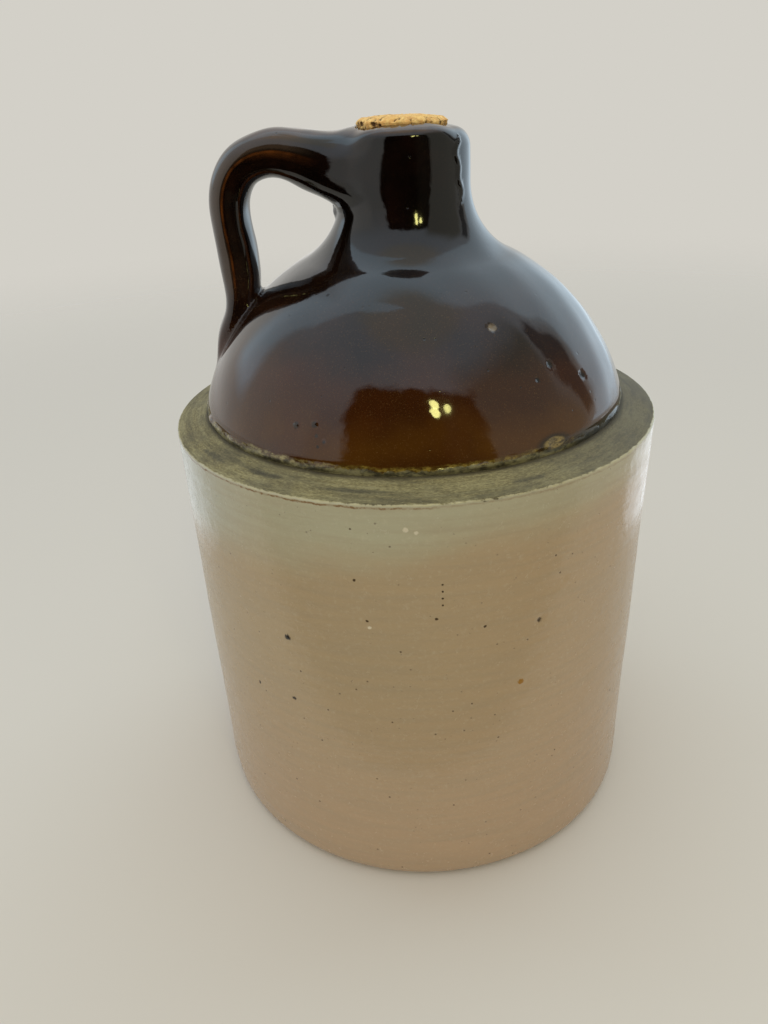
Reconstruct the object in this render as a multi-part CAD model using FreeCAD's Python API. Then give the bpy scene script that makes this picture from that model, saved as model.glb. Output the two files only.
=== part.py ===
import FreeCAD, Part
import math
import os

# One-gallon stoneware shoulder jug with its cork stopper, in millimetres.
# +Z is up, the origin is the centre of the flat base, and the strap handle
# stands on the -X side. The closed jug is one fired piece, so it is one solid;
# only the mouth is bored, because the tapered cork sits in it.

# Straight cylindrical body
body_radius = 89.0
body_height = 163.0
foot_rounding = 5.5
rim_rounding = 1.3

# Bare ledge that climbs inwards from the rim to the collar at the foot of the dome
ledge_width = 11.5
ledge_slope = 15.5
collar_height = 2.4

# Domed shoulder: part of a sphere centred on the axis, this far below the rim
dome_centre_drop = 17.9

# Neck: hollow sweep off the dome, a straight length, then the rounded lip
neck_wall = 6.75
neck_sweep = 27.0
neck_length = 16.2
lip_slope = 15.0
lip_rounding = 4.2
mouth_rounding = 0.7
mouth_offset = -0.7

# Tapered cork, wedged in the mouth and standing proud of it
cork_radius = 14.9
cork_depth = 27.0
cork_proud = 3.2
cork_taper = 4.5
cork_top_rounding = 2.2
cork_foot_rounding = 0.8
cork_clearance = 0.25

# Pulled strap handle: crown beside the lip, bend, grip, waist over the dome
crown_reach = 23.0
crown_rise = 1.5
crown_thickness = 15.2
crown_width = 22.5
bend_radius = 16.1
bend_thickness = 14.0
bend_width = 21.0
grip_thickness = 13.4
grip_width = 20.5
grip_lean = 0.6
waist_lean = 1.1
waist_lift = 9.4

# Tail of the strap, pressed down on the dome until it runs out
tail_setback = 9.9
tail_length = 23.2
tail_thickness = 6.8
tail_fall = 1.3
tail_sink = 1.4
tail_bury = 3.0
tail_width = 23.0
tail_end_width = 15.0
tail_steps = 4

# Flared root of the handle on the neck, with the bead thumbed under it
root_bury = 9.0
root_drop = 13.6
root_height = 26.5
root_width = 29.0
flare_reach = 8.0
flare_rise = 4.2
flare_height = 19.8
flare_width = 25.0
thumb_bead_radius = 2.7
thumb_bead_reach = 0.8
thumb_bead_rise = 1.6

# The strap's oval section is a little fuller than an ellipse
section_fullness = 2.3
section_points = 16
strap_sections = 22

# Places that follow from the sizes above
collar_radius = body_radius - ledge_width
collar_foot_height = body_height + ledge_width * math.tan(math.radians(ledge_slope))
collar_top_height = collar_foot_height + collar_height
dome_centre = body_height - dome_centre_drop
dome_radius = math.hypot(collar_radius, collar_top_height - dome_centre)
neck_radius = cork_radius + cork_clearance + neck_wall
sweep_radius_sum = dome_radius + neck_sweep
sweep_centre_radius = neck_radius + neck_sweep
sweep_centre_height = dome_centre + math.sqrt(sweep_radius_sum ** 2 - sweep_centre_radius ** 2)
lip_height = sweep_centre_height + neck_length
crown_middle = lip_height + crown_rise - 0.5 * crown_thickness
grip_reach = neck_radius + crown_reach + bend_radius
waist_angle = math.asin((grip_reach - waist_lean) / (dome_radius + waist_lift))


def point(radius, height):
    return FreeCAD.Vector(radius, 0.0, height)


def line(start, end):
    return Part.makeLine(start, end)


def arc(start, middle, end):
    return Part.Arc(start, middle, end).toShape()


def arc_about(centre, radius, first_angle, last_angle):
    """Arc in the XZ plane; its angles are measured from the +Z direction towards +X, in radians."""
    ends = [first_angle, 0.5 * (first_angle + last_angle), last_angle]
    return arc(*[centre + point(math.sin(angle), math.cos(angle)) * radius for angle in ends])


def rounded_corner(before, corner, after, radius):
    """Arc of the given radius that replaces a profile corner between two straight lines."""
    towards_before = (before - corner).normalize()
    towards_after = (after - corner).normalize()
    half_angle = 0.5 * towards_before.getAngle(towards_after)
    bisector = (towards_before + towards_after).normalize()
    centre = corner + bisector * (radius / math.sin(half_angle))
    tangent_length = radius / math.tan(half_angle)
    start = corner + towards_before * tangent_length
    end = corner + towards_after * tangent_length
    return arc(start, centre - bisector * radius, end)


def first_point(edge):
    return edge.valueAt(edge.FirstParameter)


def last_point(edge):
    return edge.valueAt(edge.LastParameter)


def closed_profile(edges):
    """Joins the edges in order, with a straight line across each space between two of them."""
    joined = []
    for edge, following in zip(edges, edges[1:] + edges[:1]):
        joined.append(edge)
        gap_start = last_point(edge)
        gap_end = first_point(following)
        if gap_start.distanceToPoint(gap_end) > 1e-6:
            joined.append(line(gap_start, gap_end))
    return Part.Wire(joined)


def turned(edges):
    """Solid turned about the Z axis from a half profile."""
    return Part.Face(closed_profile(edges)).revolve(FreeCAD.Vector(), FreeCAD.Vector(0, 0, 1), 360.0)


def mouth_radius(height):
    """The bore keeps the cork's taper and one clearance all round it."""
    return cork_radius + cork_clearance - math.tan(math.radians(cork_taper)) * (lip_height - height)


def jug_body():
    """Body, ledge, dome, neck and rounded lip in one turned piece, before the mouth is bored."""
    base_edge = point(body_radius, 0.0)
    rim = point(body_radius, body_height)
    ledge_inner = point(collar_radius, collar_foot_height)
    collar_top = point(collar_radius, collar_top_height)
    foot = rounded_corner(point(0.0, 0.0), base_edge, rim, foot_rounding)
    rim_edge = rounded_corner(base_edge, rim, ledge_inner, rim_rounding)

    collar_angle = math.asin(collar_radius / dome_radius)
    sweep_angle = math.asin(sweep_centre_radius / sweep_radius_sum)
    dome = arc_about(point(0.0, dome_centre), dome_radius, collar_angle, sweep_angle)
    sweep_centre = point(sweep_centre_radius, sweep_centre_height)
    sweep = arc_about(sweep_centre, neck_sweep, math.pi + sweep_angle, 1.5 * math.pi)

    slope = math.tan(math.radians(lip_slope))
    lip_peak = point(0.0, lip_height + slope * mouth_radius(lip_height))
    lip_edge = lip_peak + point(neck_radius, -slope * neck_radius)
    lip_land = neck_wall - abs(mouth_offset) - 2.0 * mouth_rounding
    lip = rounded_corner(last_point(sweep), lip_edge, lip_peak, min(lip_rounding, lip_land))
    axis = line(lip_peak, point(0.0, 0.0))
    collar = line(ledge_inner, collar_top)
    return turned([foot, rim_edge, collar, dome, sweep, lip, axis])


def mouth_bore():
    """Blind tapered bore that the cork is wedged in, long enough to clear the sloping lip."""
    floor = lip_height - cork_depth - cork_clearance
    top = lip_height + neck_radius
    return Part.makeCone(mouth_radius(floor), mouth_radius(top), top - floor, point(mouth_offset, floor))


def cork_stopper():
    """Tapered cork with a worn round top; it stands clear of the bore by the clearance."""
    taper = math.tan(math.radians(cork_taper))
    foot_height = lip_height - cork_depth
    top_height = lip_height + cork_proud
    foot_edge = point(cork_radius - taper * cork_depth, foot_height)
    top_edge = point(cork_radius + taper * cork_proud, top_height)
    foot = rounded_corner(point(0.0, foot_height), foot_edge, top_edge, cork_foot_rounding)
    top = rounded_corner(foot_edge, top_edge, point(0.0, top_height), cork_top_rounding)
    axis = line(point(0.0, top_height), point(0.0, foot_height))
    return turned([foot, top, axis]).translated(point(mouth_offset, 0.0))


def on_dome(angle, lift):
    """Reach and height of a place a given lift off the dome, at an angle down from its top."""
    distance = dome_radius + lift
    return distance * math.sin(angle), dome_centre + distance * math.cos(angle)


def root_stations():
    """Strap stations from inside the neck to the crown: reach, height, thickness and width."""
    root_middle = lip_height - root_drop
    return [
        (neck_radius - root_bury, root_middle, root_height, root_width),
        (neck_radius + flare_reach, root_middle + flare_rise, flare_height, flare_width),
        (neck_radius + crown_reach, crown_middle, crown_thickness, crown_width),
    ]


def grip_stations():
    """Strap stations round the bend and down the grip to the waist over the dome."""
    bend_bottom = crown_middle - bend_radius
    diagonal = bend_radius * math.sin(math.radians(45.0))
    bend_reach = neck_radius + crown_reach + diagonal
    waist_reach, waist_height = on_dome(waist_angle, waist_lift)
    grip_middle = 0.5 * (bend_bottom + waist_height)
    return [
        (bend_reach, bend_bottom + diagonal, bend_thickness, bend_width),
        (grip_reach, bend_bottom, grip_thickness, grip_width),
        (grip_reach - grip_lean, grip_middle, grip_thickness, grip_width),
        (waist_reach, waist_height, grip_thickness, grip_width),
    ]


def tail_stations():
    """Strap stations of the tail, which thins out along the dome and sinks into it."""
    stations = []
    for step in range(tail_steps):
        part = step / (tail_steps - 1)
        stand = tail_thickness * (1.0 - part ** tail_fall) - tail_sink * part
        angle = waist_angle + (tail_setback + part * tail_length) / dome_radius
        reach, height = on_dome(angle, 0.5 * (stand - tail_bury))
        width = tail_width + part ** 2 * (tail_end_width - tail_width)
        stations.append((reach, height, stand + tail_bury, width))
    return stations


def strap_section(centre, along, thickness, width):
    """Closed oval across the strap, square to its length."""
    across = FreeCAD.Vector(0, 1, 0)
    outward = along.cross(across).normalize()
    points = []
    for step in range(section_points):
        angle = 2.0 * math.pi * step / section_points
        out_share = math.copysign(abs(math.cos(angle)) ** (2.0 / section_fullness), math.cos(angle))
        side_share = math.copysign(abs(math.sin(angle)) ** (2.0 / section_fullness), math.sin(angle))
        shift = outward * (0.5 * thickness * out_share) + across * (0.5 * width * side_share)
        points.append(centre + shift)
    curve = Part.BSplineCurve()
    curve.interpolate(Points=points, PeriodicFlag=True)
    return Part.Wire(curve.toShape())


def strap_handle():
    """One pulled strap: evenly spaced sections along its spine, with both ends buried in the jug."""
    stations = root_stations() + grip_stations() + tail_stations()
    centres = [point(-reach, height) for reach, height, _, _ in stations]
    lengths = [0.0]
    for start, end in zip(centres, centres[1:]):
        lengths.append(lengths[-1] + start.distanceToPoint(end))
    sizes = []
    for length, (_, _, thickness, width) in zip(lengths, stations):
        sizes.append(FreeCAD.Vector(thickness, width, length))
    spine = Part.BSplineCurve()
    spine.interpolate(Points=centres, Parameters=lengths)
    size_curve = Part.BSplineCurve()
    size_curve.interpolate(Points=sizes, Parameters=lengths)
    sections = []
    for step in range(strap_sections):
        place = lengths[-1] * step / (strap_sections - 1)
        size = size_curve.value(place)
        sections.append(strap_section(spine.value(place), spine.tangent(place)[0], size.x, size.y))
    return Part.makeLoft(sections, True, False)


def thumb_bead():
    """Small bead of clay left under the root, where the thumb pressed it on the neck."""
    height = lip_height - root_drop - 0.5 * root_height + thumb_bead_rise
    centre = point(-neck_radius - thumb_bead_reach, height)
    return Part.makeSphere(thumb_bead_radius, centre, FreeCAD.Vector(0, 1, 0))


def jug():
    """The fired jug: handle and bead joined to the turned body, then the mouth bored and eased."""
    solid = jug_body().fuse(strap_handle()).fuse(thumb_bead()).cut(mouth_bore())
    mouth_edges = []
    for edge in solid.Edges:
        radius_error = abs(0.5 * edge.BoundBox.XLength - mouth_radius(lip_height))
        if radius_error < 0.5 * mouth_rounding and edge.BoundBox.ZLength < lip_rounding:
            mouth_edges.append(edge)
    return solid.makeFillet(mouth_rounding, mouth_edges)


os.makedirs("parts", exist_ok=True)
jug().exportStep("parts/jug.step")
cork_stopper().exportStep("parts/cork.step")
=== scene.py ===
import math

import bpy
import numpy as np
from mathutils import Matrix, Vector


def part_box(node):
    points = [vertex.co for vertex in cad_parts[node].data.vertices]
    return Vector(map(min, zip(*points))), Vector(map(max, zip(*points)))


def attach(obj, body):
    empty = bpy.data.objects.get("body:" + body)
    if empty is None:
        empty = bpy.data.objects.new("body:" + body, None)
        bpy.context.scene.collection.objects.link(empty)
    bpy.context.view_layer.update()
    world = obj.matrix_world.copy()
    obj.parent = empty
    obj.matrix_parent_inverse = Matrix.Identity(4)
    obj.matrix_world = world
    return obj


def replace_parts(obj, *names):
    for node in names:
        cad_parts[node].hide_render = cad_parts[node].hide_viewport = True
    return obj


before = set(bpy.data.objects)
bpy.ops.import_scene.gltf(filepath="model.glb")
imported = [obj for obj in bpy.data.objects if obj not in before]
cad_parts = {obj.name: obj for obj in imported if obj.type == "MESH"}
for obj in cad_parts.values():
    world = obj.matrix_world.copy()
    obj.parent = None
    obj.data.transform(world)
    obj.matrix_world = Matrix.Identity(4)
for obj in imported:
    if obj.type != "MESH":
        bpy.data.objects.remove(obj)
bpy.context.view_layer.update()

# One-gallon stoneware shoulder jug. Mesh work is in millimetres and becomes
# metres when an object is made. The strap handle stands on the -X side, the
# front faces -Y, and angles round the jug are in degrees from the front to +X.
MM = 0.001
jug_low, jug_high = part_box("jug")
cork_low, cork_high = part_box("cork")
BODY_RADIUS = 0.5 * (jug_high.x - jug_low.x) / MM
CORK_TOP = cork_high.z / MM
CORK_CENTRE = 0.5 * (cork_low.x + cork_high.x) / MM
CORK_FOOT = cork_low.z / MM

BODY_HEIGHT = 163
RIM_ROUNDING = 0.8
FOOT_ROUNDING = 5.5
LEDGE_WIDTH = 11.5
LEDGE_SLOPE = math.radians(15.5)
COLLAR_HEIGHT = 2.4
DOME_DROP = 17.9
CORK_RADIUS = 14.9
CORK_PROUD = 3.2
CORK_TAPER = math.tan(math.radians(4.5))
CORK_EDGE = 2
CORK_CLEARANCE = 0.25
NECK_WALL = 6.75
NECK_SWEEP = 27
NECK_DRAW = 0.52
LIP_SLOPE = math.radians(15)
LIP_ROUNDING = 4.2
LIP_FRONT_RISE = 1
MOUTH_ROUNDING = 0.9

COLLAR_RADIUS = BODY_RADIUS - LEDGE_WIDTH
COLLAR_FOOT = BODY_HEIGHT + LEDGE_WIDTH * math.tan(LEDGE_SLOPE)
COLLAR_TOP = COLLAR_FOOT + COLLAR_HEIGHT
HIDDEN_FOOT = COLLAR_FOOT - 3
DOME_CENTRE = BODY_HEIGHT - DOME_DROP
DOME_RADIUS = math.hypot(COLLAR_RADIUS, COLLAR_TOP - DOME_CENTRE)
NECK_RADIUS = CORK_RADIUS + CORK_CLEARANCE + NECK_WALL
SWEEP_REACH = NECK_RADIUS + NECK_SWEEP
SWEEP_HEIGHT = DOME_CENTRE + math.sqrt((DOME_RADIUS + NECK_SWEEP) ** 2 - SWEEP_REACH ** 2)
LIP_HEIGHT = CORK_TOP - CORK_PROUD

# The pulled strap: root in the neck, crown, grip, waist, and tail on the dome
ROOT_DROP = 13.6
ROOT_THICKNESS = 26.5
CROWN_RISE = 1.5
CROWN_REACH = 23
CROWN_THICKNESS = 15.2
STRAP_BEND = 16.1
STRAP_THICKNESS = 13.4
STRAP_WIDTH = 20.5
STRAP_POWER = 2.3
WAIST_LEAN = 1.1
WAIST_LIFT = 9.4
TAIL_START = 9.9
TAIL_LENGTH = 23.2
TAIL_STAND = 6.8
TAIL_SINK = 1.4
TAIL_BURIED = 3
BEAD_REACH = -NECK_RADIUS - 0.8
BEAD_HEIGHT = LIP_HEIGHT - ROOT_DROP - 0.5 * ROOT_THICKNESS + 1.6
BEAD_SIZE = 2.7

# The thick run of glaze on the neck
RUN_ANGLE = math.radians(51.5)
RUN_SIZE = 1.25

# The bare patch at the foot of the dome
PATCH_ANGLE = 34.5

# Flaws in the brown glaze: kind, angle, height, size and depth in mm; minus stands proud
DOME_FLAWS = [
    ("chip", 26, 203, 1.3, 0.6),
    ("pit", 40, 191, 1.2, 0.7),
    ("pit", 34, 188, 0.8, 0.5),
    ("burst", 51, 185, 1.5, 0.9),
    ("bubble", -29, 179, 1, -0.35),
    ("bubble", -24, 180, 0.9, -0.3),
    ("bubble", -23, 177, 0.6, -0.25),
    ("bubble", -21, 175.5, 0.5, -0.2),
    ("bubble", -22.5, 174, 0.5, -0.2),
    ("pit", -34, 212, 0.7, 0.4),
    ("bare", PATCH_ANGLE, 170, 2.6, 0.4),
]

# Flaws in the cream glaze: angle, height, size and depth in mm; minus stands proud
BODY_FLAWS = [
    (-29.5, 109, 1.4, -0.5),
    (-30, 82, 0.9, 0.4),
    (-41, 81, 0.8, 0.4),
    (26, 115, 1.6, 0.5),
    (8, 107, 1.5, -0.2),
    (22, 92, 1.3, -0.3),
    (33, 127, 1, -0.35),
    (45, 106, 1.3, -0.4),
    (48, 95, 1.1, -0.35),
    (38, 99, 0.9, -0.3),
    (35, 110, 1.2, -0.3),
]

# Worm holes in the cork's side: angle, depth under the top and radius in mm
CORK_HOLES = [(-61, 1.9, 1.3), (-38, 2, 1.4), (-28, 2.6, 0.9)]


# ---- shape tools
def waves(seed, count, shortest, longest):
    """Seeded sum of sines; returns a smooth function of x, y and z, within about -1 to 1."""
    dice = np.random.default_rng(seed)
    ways = dice.normal(size=(count, 3))
    ways /= np.linalg.norm(ways, axis=1)[:, None]
    lengths = np.exp(dice.uniform(math.log(shortest), math.log(longest), count))
    turns = ways * (2 * math.pi / lengths)[:, None]
    starts = dice.uniform(0, 2 * math.pi, count)
    weights = np.sqrt(lengths / longest)
    weights /= math.sqrt(0.5 * (weights ** 2).sum()) * 2

    def value(x, y, z):
        total = 0
        for (a, b, c), start, weight in zip(turns, starts, weights):
            total = total + weight * np.sin(a * x + b * y + c * z + start)
        return total

    return value


def smooth_union(a, b, width):
    """Joins two distances with a cubic blend of the given width."""
    share = np.maximum(width - np.abs(a - b), 0) / width
    return np.minimum(a, b) - share ** 3 * width / 6


def smooth_cut(a, b, width):
    """Keeps what is inside both distances, with the same blend on the edge."""
    return -smooth_union(-a, -b, width)


def smooth_step(value, low, high):
    """0 up to low, 1 from high on, and a smooth climb between."""
    share = np.clip((value - low) / (high - low), 0, 1)
    return share * share * (3 - 2 * share)


def closeness(x, y, z, centre, full, none):
    """1 within the distance `full` of a place, and 0 beyond the distance `none`."""
    gap = np.sqrt((x - centre.x) ** 2 + (y - centre.y) ** 2 + (z - centre.z) ** 2)
    return 1 - smooth_step(gap, full, none)


def on_ring(angle, reach, height):
    """Place at this angle, distance from the axis and height."""
    turn = math.radians(angle)
    return Vector((reach * math.sin(turn), -reach * math.cos(turn), height))


def on_body(angle, height):
    """Place on the straight wall."""
    return on_ring(angle, BODY_RADIUS, height)


def on_dome(angle, height):
    """Place on the dome."""
    return on_ring(angle, math.sqrt(DOME_RADIUS ** 2 - (height - DOME_CENTRE) ** 2), height)


def make_object(name, points, faces, material, normals=None):
    """Mesh object from millimetre points; it rides on the body."""
    mesh = bpy.data.meshes.new(name)
    mesh.from_pydata((np.asarray(points) * MM).tolist(), [], faces)
    mesh.validate()
    mesh.polygons.foreach_set("use_smooth", [True] * len(mesh.polygons))
    mesh.update()
    if normals is not None:
        mesh.normals_split_custom_set_from_vertices(np.asarray(normals).tolist())
    piece = bpy.data.objects.new(name, mesh)
    bpy.context.scene.collection.objects.link(piece)
    mesh.materials.append(material)
    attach(piece, "root")
    return piece


def keep_values(piece, name, values):
    """Stores one number for each point, for the material to read."""
    attribute = piece.data.attributes.new(name, "FLOAT", "POINT")
    attribute.data.foreach_set("value", values.astype(np.float32))


def cork_reach(height):
    """Radius of the tapered cork at a height."""
    return CORK_RADIUS - CORK_TAPER * (LIP_HEIGHT - height)


# ---- glazed top: field
class Curve:
    """Natural cubic spline through rows of numbers, by chord length."""

    def __init__(self, knots, rows):
        self.knots = np.asarray(knots, float)
        self.rows = np.asarray(rows, float)
        steps = np.diff(self.knots)
        count = len(self.knots)
        matrix = np.eye(count)
        right = np.zeros_like(self.rows)
        slopes = np.diff(self.rows, axis=0) / steps[:, None]
        for i in range(1, count - 1):
            matrix[i, i - 1:i + 2] = steps[i - 1], 2 * (steps[i - 1] + steps[i]), steps[i]
            right[i] = 6 * (slopes[i] - slopes[i - 1])
        self.bends = np.linalg.solve(matrix, right)

    def value(self, place, order=0):
        """The rows at a place, or their first or second slope there."""
        i = np.clip(np.searchsorted(self.knots, place) - 1, 0, len(self.knots) - 2)
        step = (self.knots[i + 1] - self.knots[i])[..., None]
        a = (self.knots[i + 1] - place)[..., None]
        b = (place - self.knots[i])[..., None]
        low, high = self.rows[i], self.rows[i + 1]
        bend_low, bend_high = self.bends[i], self.bends[i + 1]
        if order == 0:
            return ((bend_low * a ** 3 + bend_high * b ** 3) / (6 * step)
                    + (low / step - bend_low * step / 6) * a
                    + (high / step - bend_high * step / 6) * b)
        if order == 1:
            return ((bend_high * b ** 2 - bend_low * a ** 2) / (2 * step)
                    + (high - low) / step - step / 6 * (bend_high - bend_low))
        return (bend_low * a + bend_high * b) / step


def above_dome(angle, lift):
    """Reach and height of a place this far above the dome, at this angle from the top."""
    distance = DOME_RADIUS + lift
    return distance * math.sin(angle), DOME_CENTRE + distance * math.cos(angle)


def strap_stations():
    """Reach, height, thickness and width along the pulled strap, from the neck to its tail."""
    crown = LIP_HEIGHT + CROWN_RISE - 0.5 * CROWN_THICKNESS
    crown_reach = NECK_RADIUS + CROWN_REACH
    grip_top = crown - STRAP_BEND
    grip_reach = crown_reach + STRAP_BEND
    waist_angle = math.asin((grip_reach - WAIST_LEAN) / (DOME_RADIUS + WAIST_LIFT))
    waist_reach, waist_height = above_dome(waist_angle, WAIST_LIFT)
    diagonal = STRAP_BEND * math.sin(math.radians(45))
    root = LIP_HEIGHT - ROOT_DROP
    found = [
        (NECK_RADIUS - 9, root, ROOT_THICKNESS, 29),
        (NECK_RADIUS + 8, root + 4.2, 19.8, 25),
        (crown_reach, crown, CROWN_THICKNESS, 22.5),
        (crown_reach + diagonal, grip_top + diagonal, 14, 21),
        (grip_reach, grip_top, STRAP_THICKNESS, STRAP_WIDTH),
        (grip_reach - 0.6, 0.5 * (grip_top + waist_height), STRAP_THICKNESS, STRAP_WIDTH),
        (waist_reach, waist_height, STRAP_THICKNESS, STRAP_WIDTH),
    ]
    for part in (0, 1 / 3, 2 / 3, 1):
        stand = TAIL_STAND * (1 - part ** 1.3) - TAIL_SINK * part
        angle = waist_angle + (TAIL_START + TAIL_LENGTH * part) / DOME_RADIUS
        reach, height = above_dome(angle, 0.5 * (stand - TAIL_BURIED))
        found.append((reach, height, stand + TAIL_BURIED, 23 - 8 * part ** 2))
    return found


stations = np.array(strap_stations())
lengths = np.concatenate([[0], np.cumsum(np.hypot(*np.diff(stations[:, :2], axis=0).T))])
spine = Curve(lengths, stations[:, :2] * [-1, 1])
sizes = Curve(lengths, stations[:, 2:])
STRAP_LENGTH = lengths[-1]
samples = np.linspace(0, STRAP_LENGTH, 240)
sample_points = spine.value(samples)
strap_lumps = waves(5, 9, 7, 30)
clay_wobble = waves(11, 14, 14, 90)
foot_waves = waves(31, 10, 4, 40)


def spine_place(x, z):
    """Nearest place on the strap's spine, the offset outwards from it and the overrun at an end."""
    shape = np.shape(x)
    x, z = np.ravel(x), np.ravel(z)
    place = np.empty(len(x))
    batch = 20000
    for start in range(0, len(x), batch):
        part = slice(start, start + batch)
        across = x[part, None] - sample_points[:, 0]
        up = z[part, None] - sample_points[:, 1]
        place[part] = samples[np.argmin(across ** 2 + up ** 2, axis=1)]
    target = np.stack([x, z], axis=1)
    for _ in range(4):
        away = spine.value(place) - target
        first = spine.value(place, 1)
        second = spine.value(place, 2)
        slope = (away * first).sum(axis=1)
        bend = np.maximum((first ** 2).sum(axis=1) + (away * second).sum(axis=1), 0.2)
        place = np.clip(place - np.clip(slope / bend, -1, 1), 0, STRAP_LENGTH)
    tangent = spine.value(place, 1)
    tangent /= np.linalg.norm(tangent, axis=1)[:, None]
    away = target - spine.value(place)
    outward = away[:, 1] * -tangent[:, 0] + away[:, 0] * tangent[:, 1]
    overrun = np.abs((away * tangent).sum(axis=1))
    return [np.reshape(v, shape) for v in (place, outward, overrun)]


def strap_distance(nearest, x, y, z):
    """Rough distance to the strap: a full oval with a soft groove outside and hollow sides."""
    place, outward, overrun = nearest
    size = sizes.value(place)
    half_thick = 0.5 * size[..., 0]
    half_wide = 0.5 * size[..., 1]
    lump = 0.16 * strap_lumps(x, y, z)
    u = outward / (half_thick + lump)
    v = y / (half_wide + lump)
    share = (np.abs(u) ** STRAP_POWER + np.abs(v) ** STRAP_POWER + 1e-9) ** (1 / STRAP_POWER)
    reach = np.sqrt(outward ** 2 + y ** 2 + 1e-9)
    distance = (share - 1) * reach / share
    groove = np.exp(-(y / (0.30 * half_wide)) ** 2) * smooth_step(u, 0.2, 0.9)
    hollow = np.exp(-((u + 0.30) / 0.28) ** 2) * smooth_step(np.abs(v), 0.45, 0.95)
    along = place / STRAP_LENGTH
    held = smooth_step(along, 0.16, 0.28) * (1 - smooth_step(along, 0.74, 0.86))
    distance = distance + 0.2 * groove + 0.75 * hollow * held
    return np.maximum(distance, overrun - 0.5) if np.any(overrun > 1) else distance


def join_width(place, y, z):
    """Width of the soft join of strap and pot: wide on the root's flanks, narrow at the tail."""
    along = place / STRAP_LENGTH
    flank = smooth_step(np.abs(y), 4, 9) * (1 - smooth_step(along, 0.10, 0.26))
    flank = flank * smooth_step(z, LIP_HEIGHT - 27, LIP_HEIGHT - 18)
    flank = flank * (1 - smooth_step(z, LIP_HEIGHT - 9, LIP_HEIGHT - 3))
    return 7 - 2.8 * smooth_step(along, 0.2, 0.6) + 6.5 * flank


def turned_distance(radius, height, rounding):
    """Distance to the turned profile: dome, sweep, straight neck and sloping rounded lip."""
    dome = np.hypot(radius, height - DOME_CENTRE) - DOME_RADIUS
    neck = radius - NECK_RADIUS
    across = radius - SWEEP_REACH
    up = height - SWEEP_HEIGHT
    sweep = NECK_SWEEP - np.hypot(across, up)
    dome_side = across * (DOME_CENTRE - SWEEP_HEIGHT) + up * SWEEP_REACH
    body = np.where(up <= 0, np.where(dome_side > 0, sweep, dome), neck)
    lip_line = height - LIP_HEIGHT + math.tan(LIP_SLOPE) * (radius - CORK_RADIUS)
    lip_top = lip_line * math.cos(LIP_SLOPE)
    a = np.maximum(body + rounding, 0)
    b = np.maximum(lip_top + rounding, 0)
    inside = np.minimum(np.maximum(body, lip_top) + rounding, 0)
    return inside + np.hypot(a, b) - rounding


def thrown_distance(radius, x, y, z):
    """The turned profile as thrown: wobbly, drawn in at the neck, its lip raised and sharper in front."""
    ahead = smooth_step(-y / np.maximum(radius, 1), 0.5, 0.95)
    lowered = z - LIP_FRONT_RISE * ahead * smooth_step(z, LIP_HEIGHT - 16, LIP_HEIGHT - 2)
    turned = turned_distance(radius, lowered, LIP_ROUNDING + 0.4 - 2.2 * ahead)
    turned = turned - 0.28 * clay_wobble(x, y, z)
    drawn = np.exp(-((z - SWEEP_HEIGHT + 15) / 5.5) ** 2) * (0.3 + 0.7 * ahead)
    on_neck = 1 - smooth_step(radius, SWEEP_REACH - 18, SWEEP_REACH - 8)
    return turned + NECK_DRAW * drawn * on_neck


def run_distance(x, y, z):
    """Distance to the thick run of glaze down the right of the neck."""
    sway = RUN_ANGLE + 0.05 * np.sin(z / 3.1) + 0.03 * np.sin(z / 1.3 + 1)
    reach = NECK_RADIUS - 0.7
    gap = np.hypot(x - reach * np.sin(sway), y + reach * np.cos(sway))
    below = np.maximum(SWEEP_HEIGHT - 9 - z, 0)
    above = np.maximum(z - LIP_HEIGHT + 5.5, 0)
    return gap - (RUN_SIZE - 0.12 * below - 0.4 * above)


def roll_distance(radius, x, y, z):
    """Distance to the uneven bead into which the glaze rolls at the foot of the dome."""
    edge = foot_waves(x, y, 0 * z)
    up = z - (COLLAR_TOP - 0.9 + 0.45 * edge)
    return np.hypot(radius - (COLLAR_RADIUS - 1), up) - (0.95 + 0.3 * edge)


def glazed_distance(x, y, z, nearest=None):
    """Distance field of the glazed top in millimetres."""
    radius = np.hypot(x, y)
    nearest = spine_place(x, z) if nearest is None else nearest
    turned = thrown_distance(radius, x, y, z)
    strap = strap_distance(nearest, x, y, z)
    joined = smooth_union(turned, strap, join_width(nearest[0], y, z))
    bead = np.sqrt((x - BEAD_REACH) ** 2 + (y / 1.5) ** 2 + (z - BEAD_HEIGHT) ** 2) - BEAD_SIZE
    joined = smooth_union(joined, bead, 1.6)
    joined = smooth_union(joined, run_distance(x, y, z), 1.2)
    collar = radius - (COLLAR_RADIUS - 0.7)
    joined = smooth_cut(joined, np.where(z < COLLAR_TOP + 4, collar, -9), 0.8)
    joined = smooth_union(joined, roll_distance(radius, x, y, z), 1)
    for _, angle, height, size, depth in DOME_FLAWS:
        near = closeness(x, y, z, on_dome(angle, height), 0.25 * size, 1.25 * size)
        joined = joined + depth * near
    bore = np.hypot(x - CORK_CENTRE, y) - cork_reach(z) - CORK_CLEARANCE
    bore = np.maximum(bore, CORK_FOOT - CORK_CLEARANCE - z)
    joined = smooth_cut(joined, -bore, MOUTH_ROUNDING)
    return np.maximum(joined, HIDDEN_FOOT - z)


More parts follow.
